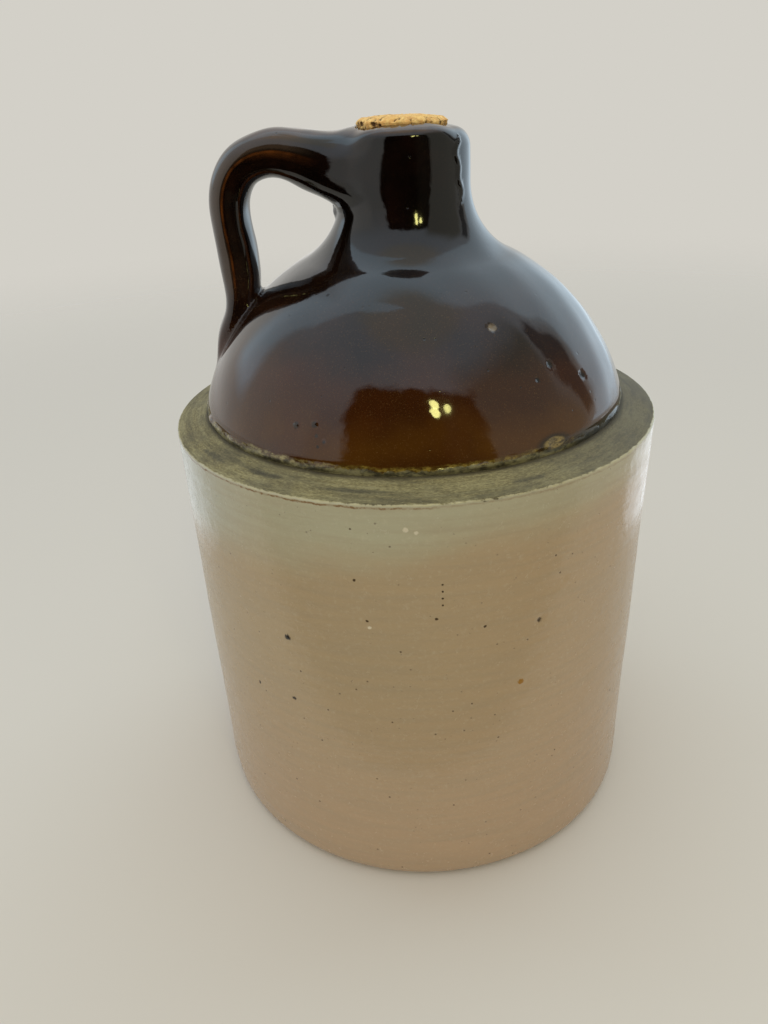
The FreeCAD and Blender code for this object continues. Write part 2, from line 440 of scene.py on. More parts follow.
def surface_net(values, low, step):
    """Quads round the zero of a grid of distances, one point for each cell that it crosses."""
    inside = values < 0
    total = np.zeros(tuple(n - 1 for n in values.shape), np.int8)
    corners = [(i, j, k) for i in (0, 1) for j in (0, 1) for k in (0, 1)]
    for i, j, k in corners:
        total += inside[i:inside.shape[0] - 1 + i, j:inside.shape[1] - 1 + j, k:inside.shape[2] - 1 + k]
    cells = np.argwhere((total > 0) & (total < 8))
    number = np.full(total.shape, -1)
    number[tuple(cells.T)] = np.arange(len(cells))
    points = np.zeros((len(cells), 3))
    counts = np.zeros(len(cells))
    for first in corners:
        for axis in range(3):
            if first[axis]:
                continue
            start = cells + first
            end = start.copy()
            end[:, axis] += 1
            a = values[tuple(start.T)]
            b = values[tuple(end.T)]
            crossed = (a < 0) != (b < 0)
            share = a[crossed] / (a[crossed] - b[crossed])
            points[crossed] += start[crossed] + share[:, None] * (end[crossed] - start[crossed])
            counts[crossed] += 1
    points = low + step * points / counts[:, None]
    faces = []
    for axis in range(3):
        side, other = (axis + 1) % 3, (axis + 2) % 3
        size = list(values.shape)
        size[axis] -= 1
        begin = [slice(0, n) for n in size]
        begin_high = list(begin)
        begin_high[axis] = slice(1, size[axis] + 1)
        crossing = inside[tuple(begin)] != inside[tuple(begin_high)]
        places = np.argwhere(crossing)
        keep = (places[:, side] > 0) & (places[:, other] > 0)
        keep &= (places[:, side] < values.shape[side] - 1) & (places[:, other] < values.shape[other] - 1)
        places = places[keep]
        ring = []
        for back, down in ((1, 1), (0, 1), (0, 0), (1, 0)):
            cell = places.copy()
            cell[:, side] -= back
            cell[:, other] -= down
            ring.append(number[tuple(cell.T)])
        ring = np.stack(ring, axis=1)
        flip = ~inside[tuple(places.T)]
        ring[flip] = ring[flip][:, ::-1]
        faces.append(ring)
    return points, np.concatenate(faces)


def field_slope(points):
    """Distance and unit slope at each point."""
    span = 0.04
    x, y, z = points.T
    slopes = []
    for axis in range(3):
        shift = np.zeros(3)
        shift[axis] = span
        ahead = glazed_distance(*(points + shift).T)
        behind = glazed_distance(*(points - shift).T)
        slopes.append((ahead - behind) / (2 * span))
    return glazed_distance(x, y, z), np.stack(slopes, axis=1)


def strap_values(points):
    """For each point: place across and along the strap, and how far it is on it and on its sides."""
    place, outward, _ = spine_place(points[:, 0], points[:, 2])
    size = sizes.value(place)
    u = outward / (0.5 * size[:, 0])
    v = points[:, 1] / (0.5 * size[:, 1])
    along = place / STRAP_LENGTH
    held = smooth_step(along, 0.12, 0.26) * (1 - smooth_step(along, 0.68, 0.78))
    clear = smooth_step(-points[:, 0], NECK_RADIUS + 2, NECK_RADIUS + 12)
    held = held * clear * (1 - smooth_step(np.abs(u), 1.05, 1.3))
    side = smooth_step(np.abs(v), 0.35, 0.65) * held
    return {"strap_out": u, "strap_side": side, "strap": held, "strap_along": along}


def build_glazed_top(material):
    """Net over the distance field, moved onto its zero, with the field's own normals."""
    step = 1.2
    low = np.array([-DOME_RADIUS - 4, -DOME_RADIUS - 4, HIDDEN_FOOT - 2 * step])
    high = np.array([DOME_RADIUS + 4, DOME_RADIUS + 4, LIP_HEIGHT + 6])
    axes = [np.arange(a, b, step) for a, b in zip(low, high)]
    x, z = np.meshgrid(axes[0], axes[2], indexing="ij")
    nearest = [v[:, None, :] for v in spine_place(x, z)]
    values = glazed_distance(*np.meshgrid(*axes, indexing="ij"), nearest=nearest)
    points, faces = surface_net(values, low, step)
    hidden = points[:, 2] < HIDDEN_FOOT + 0.6 * step
    for _ in range(3):
        distance, slope = field_slope(points)
        size = np.maximum((slope ** 2).sum(axis=1), 0.25)
        move = np.clip(-slope * (distance / size)[:, None], -0.4 * step, 0.4 * step)
        points = points + np.where(hidden[:, None], 0, move)
    _, slope = field_slope(points)
    normals = slope / np.linalg.norm(slope, axis=1)[:, None]
    piece = make_object("jug_glazed_top", points, faces.tolist(), material, normals)
    for name, values in strap_values(points).items():
        keep_values(piece, name, values)
    return piece


# ---- turned pieces
QUARTER_TURN = 0.5 * math.pi
COLUMNS = 448
RIM_SPLIT = 0.72
WALL_WOBBLE = 0.22
THROWING_DEPTH = 0.05
LEDGE_WAVE = 0.10
LEDGE_BRUSHING = 0.03

throwing = waves(41, 26, 3, 14)
body_wobble = waves(43, 10, 60, 200)
ledge_wobble = waves(47, 14, 6, 50)


def revolve(profile, columns):
    """Points and quads round the axis for a half profile; a place on the axis is one point."""
    points, faces, rings = [], [], []
    angles = np.linspace(0, 2 * math.pi, columns, endpoint=False)
    for radius, height in profile:
        start = len(points)
        if radius < 1e-6:
            points.append((0, 0, height))
            rings.append([start] * columns)
            continue
        points += [(radius * math.sin(angle), -radius * math.cos(angle), height) for angle in angles]
        rings.append(list(range(start, start + columns)))
    for lower, upper in zip(rings, rings[1:]):
        for i in range(columns):
            j = (i + 1) % columns
            quad = list(dict.fromkeys([lower[i], lower[j], upper[j], upper[i]]))
            if len(quad) > 2:
                faces.append(quad)
    return np.array(points), faces


def arc(reach, height, radius, first, last, count):
    """Places round an arc about a centre; the angles count up from level outwards."""
    turns = np.linspace(first, last, count)
    return [(reach + radius * math.cos(turn), height + radius * math.sin(turn)) for turn in turns]


def scaled_out(points, scale):
    """Copy of the points with their distance from the axis scaled."""
    shifted = points.copy()
    shifted[:, :2] *= scale[:, None]
    return shifted


def shift_wall(points):
    """Throwing lines, a slight wobble and the flaws that stand off the turned wall."""
    x, y, z = points.T
    radius = np.hypot(x, y)
    outer = smooth_step(radius, BODY_RADIUS - 12, BODY_RADIUS - 3)
    free = outer * (1 - smooth_step(z, BODY_HEIGHT - 6, BODY_HEIGHT - 0.5))
    rings = throwing(0.02 * x, 0.02 * y, z + 0.015 * x) * free * smooth_step(z, 3, 14)
    move = WALL_WOBBLE * body_wobble(x, y, z) * outer + THROWING_DEPTH * rings
    for angle, height, size, depth in BODY_FLAWS:
        move = move - depth * closeness(x, y, z, on_body(angle, height), 0.2 * size, 1.2 * size)
    front_left = 0.5 + 0.5 * np.cos(np.arctan2(x, -y) + math.radians(35))
    foot_rise = np.maximum(0, 12 - z) * smooth_step(radius, BODY_RADIUS - 14, BODY_RADIUS)
    move = move - 0.10 * front_left ** 2 * foot_rise * outer * (z > 0)
    return scaled_out(points, 1 + move / np.maximum(radius, 1))


def shift_ledge(points):
    """The hand-cut ledge waves a little, is brushed in rings and follows the wall's wobble."""
    x, y, z = points.T
    radius = np.hypot(x, y)
    outer = smooth_step(radius, BODY_RADIUS - 12, BODY_RADIUS - 3)
    move = WALL_WOBBLE * body_wobble(x, y, z) * outer
    shifted = scaled_out(points, 1 + move / np.maximum(radius, 1))
    free = smooth_step(radius, COLLAR_RADIUS - 1, COLLAR_RADIUS + 2)
    free = free * (1 - smooth_step(radius, BODY_RADIUS - 2.5, BODY_RADIUS - 0.8))
    rings = throwing(0 * x, 0 * y, 6 * radius)
    shifted[:, 2] += free * (LEDGE_WAVE * ledge_wobble(x, y, z) + LEDGE_BRUSHING * rings)
    return shifted


def rim_arc(first, last, count):
    """Places round the rim's rounding; 0 is level outwards and 1 meets the ledge."""
    reach = BODY_RADIUS - RIM_ROUNDING
    height = BODY_HEIGHT + RIM_ROUNDING * math.tan(LEDGE_SLOPE) - RIM_ROUNDING / math.cos(LEDGE_SLOPE)
    turn = QUARTER_TURN - LEDGE_SLOPE
    return arc(reach, height, RIM_ROUNDING, turn * first, turn * last, count)


def build_wall(material):
    """Flat base, rounded foot, straight wall and the outer part of the rim, closed under the ledge."""
    base = [(0, 0), (BODY_RADIUS - 30, 0), (BODY_RADIUS - FOOT_ROUNDING - 6, 0)]
    foot = arc(BODY_RADIUS - FOOT_ROUNDING, FOOT_ROUNDING, FOOT_ROUNDING, -QUARTER_TURN, 0, 11)
    rim = rim_arc(0, RIM_SPLIT, 6)
    rows = 124
    wall = [(BODY_RADIUS, height) for height in np.linspace(FOOT_ROUNDING, rim[0][1], rows + 1)[1:-1]]
    under = [(BODY_RADIUS - 3, BODY_HEIGHT - 3)]
    under += [(reach, BODY_HEIGHT - 4) for reach in (BODY_RADIUS - 30, 0)]
    points, faces = revolve(base + foot + wall + rim + under, COLUMNS)
    return make_object("jug_cream_wall", shift_wall(points), faces, material)


def build_ledge(material):
    """Closed ring: the sloping bare ledge from the rim to just inside the collar, and its underside."""
    rim = rim_arc(RIM_SPLIT, 1, 4)
    inner = COLLAR_RADIUS - 2.6
    slope = [(reach, BODY_HEIGHT + math.tan(LEDGE_SLOPE) * (BODY_RADIUS - reach))
             for reach in np.linspace(rim[-1][0], inner, 15)[1:]]
    under = [(inner - 1, BODY_HEIGHT - 1), (BODY_RADIUS - 4, BODY_HEIGHT - 2)]
    points, faces = revolve(rim + slope + under + rim[:1], COLUMNS)
    last = len(points) - COLUMNS
    faces = [[p - last if p >= last else p for p in face] for face in faces]
    return make_object("jug_bare_ledge", shift_ledge(points[:last]), faces, material)


# ---- cork
CORK_COLUMNS = 260
CORK_TOP_RADIUS = cork_reach(CORK_TOP)
CORK_BEVEL = 0.8

cork_grain = waves(61, 20, 1.6, 9)
cork_lumps = waves(67, 12, 5, 26)
cork_fine = waves(71, 40, 0.7, 2.4)


def worm_holes(turn, z):
    """1 inside the worm holes and 0 away from them."""
    holes = 0
    for angle, drop, size in CORK_HOLES:
        around = (turn - math.radians(angle)) * CORK_TOP_RADIUS
        gap = np.hypot(around, z - CORK_TOP + drop)
        holes = np.maximum(holes, 1 - smooth_step(gap, 0.35 * size, size))
    return holes


def worn_cork(points):
    """The cork's worn shape, and for each point how much of a pore, crack, notch or hole it is in."""
    x, y, z = points.T
    radius = np.hypot(x, y)
    turn = np.arctan2(x, -y)
    shown = smooth_step(z, LIP_HEIGHT - 2.5, LIP_HEIGHT - 0.5)
    pores = smooth_step(cork_grain(x, 2.2 * y, z), 0.28, 0.7)
    cracks = smooth_step(1 - np.abs(cork_lumps(2.1 * x, 0.9 * y, 2 * z)) * 7, 0, 1)
    wavy_turn = turn * 19 + 1.6 * np.sin(2 * turn + 0.7) + 1.1 * np.sin(5 * turn)
    lobes = np.abs(np.sin(0.5 * wavy_turn))
    notch = (1 - smooth_step(lobes, 0, 0.32)) * smooth_step(radius, 10, 13.5)
    notch = notch * (0.45 + 0.55 * smooth_step(turn, -0.25, 0.15))
    holes = worm_holes(turn, z)
    cut = shown * (0.6 * pores + 0.55 * cracks + 0.75 * notch + 1.4 * holes * (radius > 9))
    depth = 0.45 * pores + 0.35 * cracks + 0.12 * cork_fine(x, y, z) + 0.75 * notch
    sink = 0.175 * (radius / CORK_TOP_RADIUS) ** 2.6 + 0.25 * (cork_lumps(x, y, z) + 0.2)
    sink = sink + 0.2 * smooth_step(-x, 2, 12) + 0.9 * smooth_step(x, 4, 14)
    top = smooth_step(z, CORK_TOP - 2.4, CORK_TOP - 0.4)
    side = shown * (1 - top)
    inward = side * (0.15 + 0.9 * depth + 1.1 * holes - 0.25 * lobes) + 0.05
    shifted = scaled_out(points, 1 - inward / np.maximum(radius, 1) * smooth_step(radius, 4, 9))
    shifted[:, 0] += CORK_CENTRE
    shifted[:, 2] -= top * shown * (sink + 0.8 * depth)
    return shifted, cut


def build_cork(material):
    """Tapered cork with its shown end worn; rows lie closest together where it shows."""
    flat = CORK_TOP_RADIUS - CORK_EDGE
    edge = CORK_TOP - CORK_EDGE
    shown_foot = edge - 0.45 * 11
    profile = [(reach, CORK_TOP) for reach in np.linspace(0, flat, 38)]
    profile += arc(flat, edge, CORK_EDGE, QUARTER_TURN, 0, 9)[1:]
    for start, end, rows in ((edge, shown_foot, 12), (shown_foot, CORK_FOOT + CORK_BEVEL, 6)):
        profile += [(cork_reach(height), height) for height in np.linspace(start, end, rows)[1:]]
    profile += [(cork_reach(CORK_FOOT) - CORK_BEVEL, CORK_FOOT), (0, CORK_FOOT)]
    points, faces = revolve(profile[::-1], CORK_COLUMNS)
    points, cut = worn_cork(points)
    piece = make_object("cork_stopper", points, faces, material)
    keep_values(piece, "cut", cut)
    return piece


# ---- materials
def colour(red, green, blue):
    """Linear colour from 0-255 display values."""
    parts = []
    for value in (red, green, blue):
        share = value / 255
        parts.append(share / 12.92 if share <= 0.04045 else ((share + 0.055) / 1.055) ** 2.4)
    return (*parts, 1)


class Nodes:
    """Short calls that add nodes to one tree; textures read the coordinates in `place`."""

    def __init__(self, tree):
        self.tree = tree
        self.tree.nodes.clear()
        self.place = None

    def add(self, kind):
        return self.tree.nodes.new("ShaderNode" + kind)

    def set(self, socket, value):
        """Links a socket to this one, or stores a plain value in it."""
        if isinstance(value, bpy.types.NodeSocket):
            self.tree.links.new(value, socket)
        elif value is not None:
            socket.default_value = value

    def math(self, kind, a, b=None):
        node = self.add("Math")
        node.operation = kind
        self.set(node.inputs[0], a)
        self.set(node.inputs[1], b)
        return node.outputs[0]

    def vector(self, kind, a, b=None, scale=None):
        node = self.add("VectorMath")
        node.operation = kind
        self.set(node.inputs[0], a)
        self.set(node.inputs[1], b)
        if scale is not None:
            self.set(node.inputs["Scale"], scale)
        return node.outputs["Value"] if kind == "DISTANCE" else node.outputs[0]

    def split(self, place):
        """The three numbers of a vector."""
        node = self.add("SeparateXYZ")
        self.set(node.inputs[0], place)
        return node.outputs

    def product(self, *values):
        """All the values multiplied."""
        result = values[0]
        for value in values[1:]:
            result = self.math("MULTIPLY", result, value)
        return result

    def largest(self, *values):
        """The largest of the values."""
        result = values[0]
        for value in values[1:]:
            result = self.math("MAXIMUM", result, value)
        return result

    def squares(self, a, b):
        """Sum of the squares of two values."""
        return self.math("ADD", self.math("MULTIPLY", a, a), self.math("MULTIPLY", b, b))

    def ramp(self, value, low, high, start=0, end=1):
        """Smooth step from start to end as the value goes from low to high."""
        node = self.add("MapRange")
        node.interpolation_type = "SMOOTHSTEP"
        self.set(node.inputs["Value"], value)
        for name, number in zip(("From Min", "From Max", "To Min", "To Max"), (low, high, start, end)):
            self.set(node.inputs[name], number)
        return node.outputs[0]

    def fall(self, value, low, high):
        """Smooth step from 1 to 0 as the value goes from low to high."""
        return self.ramp(value, low, high, 1, 0)

    def band(self, value, rise, drop):
        """0, then up to 1 over the range `rise`, then back to 0 over the range `drop`."""
        return self.product(self.ramp(value, *rise), self.fall(value, *drop))

    def noise(self, size, detail=3, roughness=0.5, place=None, warp=0):
        """Soft noise from 0 to 1 with lumps of about this size."""
        node = self.add("TexNoise")
        self.set(node.inputs["Vector"], place or self.place)
        node.inputs["Scale"].default_value = 1 / size
        node.inputs["Detail"].default_value = detail
        node.inputs["Roughness"].default_value = roughness
        node.inputs["Distortion"].default_value = warp
        return node.outputs["Fac"]

    def frayed(self, value, noise, size):
        """The value with a noise of this size from end to end added, about zero."""
        return self.math("ADD", value, self.math("MULTIPLY", self.math("SUBTRACT", noise, 0.5), size))

    def mix(self, share, a, b):
        """Colour a, going over to b as the share rises to 1."""
        node = self.add("Mix")
        node.data_type = "RGBA"
        node.blend_type = "MIX"
        node.clamp_factor = True
        for index, value in ((0, share), (6, a), (7, b)):
            self.set(node.inputs[index], value)
        return node.outputs[2]


class Paint(Nodes):
    """Node material whose coordinates are millimetres in the row frame."""

    def __init__(self, name):
        self.material = bpy.data.materials.new(name)
        self.material.use_nodes = True
        super().__init__(self.material.node_tree)
        self.shader = self.add("BsdfPrincipled")
        self.output = self.add("OutputMaterial")
        self.set(self.output.inputs[0], self.shader.outputs[0])
        self.place = self.vector("SCALE", self.add("TexCoord").outputs["Object"], scale=1 / MM)
        self.x, self.y, self.z = self.split(self.place)
        self.radius = self.math("SQRT", self.squares(self.x, self.y))
        self.turn = self.math("ARCTAN2", self.x, self.math("MULTIPLY", self.y, -1))

    def give(self, name, value):
        """Sets one of the shader's inputs."""
        self.set(self.shader.inputs[name], value)

    def attribute(self, name):
        """Number stored for each point under this name."""
        node = self.add("Attribute")
        node.attribute_name = name
        return node.outputs["Fac"]

    def stretched(self, x, y, z):
        """The millimetre coordinates scaled along each axis."""
        return self.vector("MULTIPLY", self.place, (x, y, z))

    def rings(self, around, across, up):
        """Coordinates that run round the turned shape: angle, radius and height, each scaled."""
        node = self.add("CombineXYZ")
        values = (self.turn, self.radius, self.z)
        for socket, value, scale in zip(node.inputs, values, (around, across, up)):
            self.set(socket, self.math("MULTIPLY", value, scale))
        return node.outputs[0]

    def dots(self, gap, inner, outer, patch, low, high, place=None):
        """Dots about this gap apart, let through only in patches of a noise."""
        node = self.add("TexVoronoi")
        self.set(node.inputs["Vector"], place or self.place)
        node.inputs["Scale"].default_value = 1 / gap
        patches = self.ramp(self.noise(patch, 2), low, high)
        return self.product(self.fall(node.outputs["Distance"], inner, outer), patches)

    def spot(self, centre, size, soft, ragged):
        """Round mark of this radius about a place, with an edge made ragged by a noise."""
        gap = self.vector("DISTANCE", self.place, tuple(centre))
        gap = self.frayed(gap, ragged, 1.4 * size)
        return self.fall(gap, size * (1 - soft), size * (1 + soft))

    def coat(self, base, share, shade):
        """The base with another colour over it, as far as the share goes."""
        return self.mix(share, base, colour(*shade))

    def fade(self, share):
        """Lets the surface run out to nothing where the share reaches 1."""
        mixer = self.add("MixShader")
        self.set(mixer.inputs[0], share)
        self.set(mixer.inputs[1], self.shader.outputs[0])
        self.set(mixer.inputs[2], self.add("BsdfTransparent").outputs[0])
        self.set(self.output.inputs[0], mixer.outputs[0])

    def bump(self, *layers):
        """Bump from pairs of height and depth in mm, chained so that each keeps its own depth."""
        normal = None
        for height, depth in layers:
            node = self.add("Bump")
            node.inputs["Strength"].default_value = 1
            node.inputs["Distance"].default_value = depth * MM
            self.set(node.inputs["Height"], height)
            self.set(node.inputs["Normal"], normal)
            normal = node.outputs[0]
        self.give("Normal", normal)


# ---- brown glaze
FLAW_SHADES = {"chip": (116, 102, 84), "pit": (12, 9, 7), "burst": (8, 7, 7), "bubble": (34, 24, 16)}

# Ridges along the strap's sides: place from inside (-1) to outside (1), width and strength
STRAP_RIDGES = [(0.10, 0.09, 0.6), (-0.70, 0.08, 0.35), (-0.20, 0.45, 0.04)]


def thick_and_thin(p, cloudy, high):
    """Almost black where the glaze is thick, and amber where it thins down the dome."""
    dark = p.mix(p.ramp(cloudy, 0.35, 0.7), colour(17, 8, 5), colour(34, 17, 9))
    dark = p.mix(high, dark, p.mix(p.ramp(cloudy, 0.4, 0.7), colour(5, 3, 2), colour(20, 8, 5)))
    thin = p.frayed(p.fall(p.z, COLLAR_TOP + 4, COLLAR_TOP + 40), cloudy, 0.8)
    base = p.coat(dark, p.ramp(thin, 0.1, 0.6), (48, 23, 6))
    base = p.coat(base, p.ramp(thin, 0.72, 1.2), (74, 44, 9))
    run = p.noise(9, 3, 0.6, p.rings(26, 0.2, 0.12))
    return p.coat(base, p.product(p.ramp(thin, 0.2, 0.8), p.ramp(run, 0.42, 0.7, 0, 0.55)), (58, 24, 5))


def strap_and_lip(p, base, cloudy):
    """The glaze breaks to orange brown along the strap's edges and on the lip; the strap's outside is
    lighter grey brown, a painted sheen.
    """
    out = p.frayed(p.attribute("strap_out"), p.noise(12, 2), 0.10)
    ridges = [p.ramp(p.math("ABSOLUTE", p.math("SUBTRACT", out, ridge)), 0.02, width, share, 0)
              for ridge, width, share in STRAP_RIDGES]
    near_root = p.ramp(p.attribute("strap_along"), 0.26, 0.38, 0.45, 0)
    bend = p.product(p.band(out, (-0.25, 0.12), (0.12, 0.2)), near_root)
    edge = p.product(p.attribute("strap_side"), p.largest(*ridges, bend))
    base = p.coat(base, p.product(edge, p.ramp(p.noise(5, 3), 0.3, 0.7, 0.3, 1)), (100, 54, 20))
    # Painted sheen: lighter grey brown on the strap's outside, where the pale room shows in it
    outer = p.product(p.attribute("strap"), p.ramp(out, 0.12, 0.3), p.ramp(cloudy, 0.3, 0.7, 0.6, 1))
    base = p.coat(base, outer, (62, 48, 37))
    lip = p.ramp(p.z, LIP_HEIGHT - 2.4, LIP_HEIGHT - 0.6)
    worn = p.ramp(p.noise(5, 4, 0.65), 0.3, 0.65, 0.3, 0.9)
    return p.coat(base, p.product(lip, worn), (74, 50, 30))


def glaze_line(p, base, crumbs, wander, step):
    """Glassy yellow line where the glaze stops, over the olive step of bare clay."""
    line = p.fall(wander, COLLAR_TOP + 0.3, COLLAR_TOP + 1.3)
    line = p.product(line, p.ramp(crumbs, 0.36, 0.55, 0.5, 0.95))
    pale = p.mix(p.ramp(p.x, -46, -16), colour(146, 134, 92), colour(128, 106, 44))
    base = p.mix(line, base, p.mix(p.ramp(crumbs, 0.40, 0.68), colour(66, 50, 16), pale))
    dirt = p.ramp(p.math("ADD", crumbs, p.noise(7, 3, 0.6)), 0.85, 1.15)
    return p.mix(step, base, p.mix(dirt, colour(50, 45, 26), colour(112, 104, 68)))


def speckle(p, base, high):
    """Fine pale speckle and frost all over, weaker high on the neck."""
    calm = p.math("SUBTRACT", 1, p.math("MULTIPLY", high, 0.75))
    specks = p.dots(1.1, 0.08, 0.20, 3.1, 0.40, 0.66)
    base = p.coat(base, p.product(specks, 0.26, calm), (110, 86, 52))
    frost = p.product(p.ramp(p.noise(0.45, 2, 0.6), 0.55, 0.76, 0, 0.14), calm)
    return p.coat(base, frost, (140, 104, 60))


def bare_patch(p, base, crumbs, wander):
    """Oval patch of bare clay at the foot of the dome, in a dark ring, with a dark smear beside it."""
    around = p.math("MULTIPLY", p.math("SUBTRACT", p.turn, math.radians(PATCH_ANGLE)), COLLAR_RADIUS)
    up = p.math("SUBTRACT", p.z, COLLAR_TOP + 1.2)
    oval = p.squares(p.math("DIVIDE", around, 5.5), p.math("DIVIDE", up, 2.3))
    oval = p.frayed(oval, crumbs, 1.1)
    base = p.coat(base, p.ramp(oval, 0.7, 2.2, 0.75, 0), (28, 25, 17))
    clay = p.mix(p.ramp(crumbs, 0.4, 0.6), colour(66, 54, 30), colour(136, 116, 70))
    base = p.mix(p.fall(oval, 0.45, 0.85), base, clay)
    beside = p.band(p.math("DEGREES", p.turn), (36, 44), (60, 72))
    smear = p.product(beside, p.fall(wander, COLLAR_TOP + 0.6, COLLAR_TOP + 2.6), 0.85)
    return p.coat(base, smear, (20, 20, 13))


def brown_glaze():
    """Dark Albany-slip glaze: glossy, almost black where thick and amber where thin."""
    p = Paint("brown_slip_glaze")
    cloudy = p.noise(26, 4, 0.55)
    fine = p.noise(2.2, 3, 0.6)
    crumbs = p.noise(1.3, 5, 0.7, p.rings(38, 1, 1))
    high = p.ramp(p.z, DOME_CENTRE + 62, DOME_CENTRE + 84)
    wander = p.frayed(p.z, p.noise(6, 5, 0.75), 3.6)
    step = p.fall(wander, COLLAR_TOP - 0.7, COLLAR_TOP + 0.1)
    pits = p.dots(4.6, 0.055, 0.11, 9, 0.5, 0.6)
    base = thick_and_thin(p, cloudy, high)
    base = strap_and_lip(p, base, cloudy)
    base = glaze_line(p, base, crumbs, wander, step)
    base = speckle(p, base, high)
    base = p.coat(base, pits, (16, 12, 9))
    for kind, angle, height, size, _ in DOME_FLAWS:
        if kind in FLAW_SHADES:
            base = p.coat(base, p.spot(on_dome(angle, height), size, 0.4, fine), FLAW_SHADES[kind])
    p.give("Base Color", bare_patch(p, base, crumbs, wander))
    rough = p.ramp(p.noise(9, 5, 0.7), 0.35, 0.8, 0.04, 0.11)
    rough = p.math("ADD", rough, p.math("MULTIPLY", step, 0.45))
    root = p.product(p.attribute("strap"), p.ramp(p.attribute("strap_along"), 0.03, 0.17, 0.16, 0))
    rough = p.math("ADD", rough, p.math("MULTIPLY", root, p.ramp(cloudy, 0.3, 0.6, 0.5, 1)))
    p.give("Roughness", rough)
    p.give("IOR", 1.54)
    p.bump((p.noise(9, 2, 0.4), 0.08), (p.noise(1.6, 2, 0.5), 0.008), (pits, -0.08))
    return p.material


# ---- cream glaze and bare clay
# Coloured marks on the wall: angle, height, radius in mm and shade
WALL_MARKS = [
    (-29.5, 109, 1.1, (18, 15, 12)),
    (-30, 82, 0.7, (48, 36, 26)),
    (-41, 81, 0.6, (56, 44, 32)),
    (26, 115, 1, (66, 52, 36)),
    (22, 92, 1, (146, 102, 34)),
    (-12.5, 137, 0.5, (70, 54, 36)),
    (-10.5, 122, 0.5, (70, 54, 36)),
    (3.5, 123, 0.5, (76, 60, 42)),
    (13.5, 118, 0.5, (76, 60, 42)),
    (-2, 155, 0.8, (196, 184, 158)),
    (0, 154, 0.6, (196, 184, 158)),
    (-10, 119.5, 0.6, (204, 190, 164)),
]
WALL_MARKS += [(4.8, 128 + 2.5 * i, 0.35, (60, 46, 30)) for i in range(4)]

# Stains in the clay: noise size, detail, roughness and rings, range, strength and shade
CLAY_STAINS = [
    (0.9, 2, 0.5, (3, 1, 1), (0.4, 0.7), 0.3, (150, 142, 104)),
    (16, 5, 0.6, None, (0.42, 0.66), 0.5, (88, 80, 60)),
    (12, 4, 0.6, (50, 1, 1), (0.5, 0.7), 0.4, (160, 150, 112)),
    (3.2, 5, 0.7, (14, 1, 1), (0.5, 0.72), 0.45, (54, 48, 33)),
    (8, 5, 0.75, (26, 2, 1), (0.46, 0.68), 0.75, (74, 66, 44)),
    (0.9, 4, 0.75, None, (0.55, 0.75), 0.5, (150, 142, 108)),
]

# Dark scuffs on the ledge: angle, distance from the axis, length and width in mm
CLAY_SCUFFS = [
    (-34, 82.5, 9, 1.6),
    (-14, 83.5, 13, 1.3),
    (24, 84, 7, 1.2),
    (-52, 84, 8, 1.4),
    (150, 83, 11, 1.5),
    (-120, 84, 9, 1.4),
    (95, 82.5, 8, 1.3),
]


def cream_colour(p, turned, specks, pins):
    """Cream glaze with specks and marks, under painted reflections: a greyer band of pale wall above with a
    streaky edge, paler bluish grey high on the left, and warmer pink of red cloth below and to the right.
    """
    # Painted reflection: a greyer band of pale wall at the top, its edge made ragged by streaks, over
    # pinker cloth below
    streaks = p.math("MULTIPLY", p.noise(22, 4, 0.6, p.rings(30, 0, 1)), 26)
    tilted = p.math("ADD", p.z, p.math("MULTIPLY", p.x, -0.10))
    upper = p.ramp(p.math("ADD", tilted, streaks), 148, 170)
    cream = p.mix(upper, colour(166, 144, 112), colour(168, 161, 134))
    # Painted reflection of red cloth: warmer and pinker towards the foot and to the right
    cream = p.coat(cream, p.ramp(p.z, 10, 110, 0.5, 0), (178, 144, 115))
    right = p.product(p.ramp(p.x, -20, 80, 0, 0.4), p.ramp(upper, 0, 1, 1, 0.25))
    cream = p.coat(cream, right, (178, 145, 114))
    # Painted reflection of a bluish window: paler grey high on the left
    cream = p.coat(cream, p.product(p.ramp(p.x, -85, -45, 0.7, 0), upper), (166, 168, 158))
    cream = p.coat(cream, p.ramp(turned, 0.35, 0.75, 0, 0.35), (152, 136, 111))
    cream = p.coat(cream, p.ramp(p.noise(1.4, 4, 0.6), 0.5, 0.85, 0, 0.25), (196, 184, 160))
    cream = p.coat(cream, p.product(specks, 0.8), (74, 56, 36))
    cream = p.coat(cream, p.product(pins, 0.5), (110, 92, 66))
    ragged = p.noise(0.8, 2)
    for angle, height, size, shade in WALL_MARKS:
        cream = p.coat(cream, p.spot(on_body(angle, height), size, 0.35, ragged), shade)
    return cream


def clay_colour(p, grain):
    """Bare clay, brushed and stained, darker to the right, with painted shade close to the collar."""
    bare = p.mix(p.ramp(grain, 0.3, 0.75), colour(90, 79, 46), colour(156, 143, 98))
    for size, detail, roughness, rings, limits, strength, shade in CLAY_STAINS:
        place = p.rings(*rings) if rings else None
        stain = p.ramp(p.noise(size, detail, roughness, place), *limits, 0, strength)
        bare = p.coat(bare, stain, shade)
    ragged = p.noise(2.6, 4, 0.7)
    for angle, radius, length, width in CLAY_SCUFFS:
        along = p.math("MULTIPLY", p.math("SUBTRACT", p.turn, math.radians(angle)), radius / length)
        across = p.math("DIVIDE", p.math("SUBTRACT", p.radius, radius), width)
        reach = p.frayed(p.math("SQRT", p.squares(along, across)), ragged, 1.6)
        bare = p.coat(bare, p.ramp(reach, 0.3, 1.1, 0.6, 0), (50, 45, 34))
    bare = p.coat(bare, p.ramp(p.x, 15, 75, 0, 0.6), (86, 80, 68))
    # Painted shade in the corner where the ledge meets the collar
    painted_crease_shade = p.ramp(p.radius, COLLAR_RADIUS - 0.2, COLLAR_RADIUS + 1.5, 0.8, 0)
    return p.coat(bare, painted_crease_shade, (58, 50, 34))


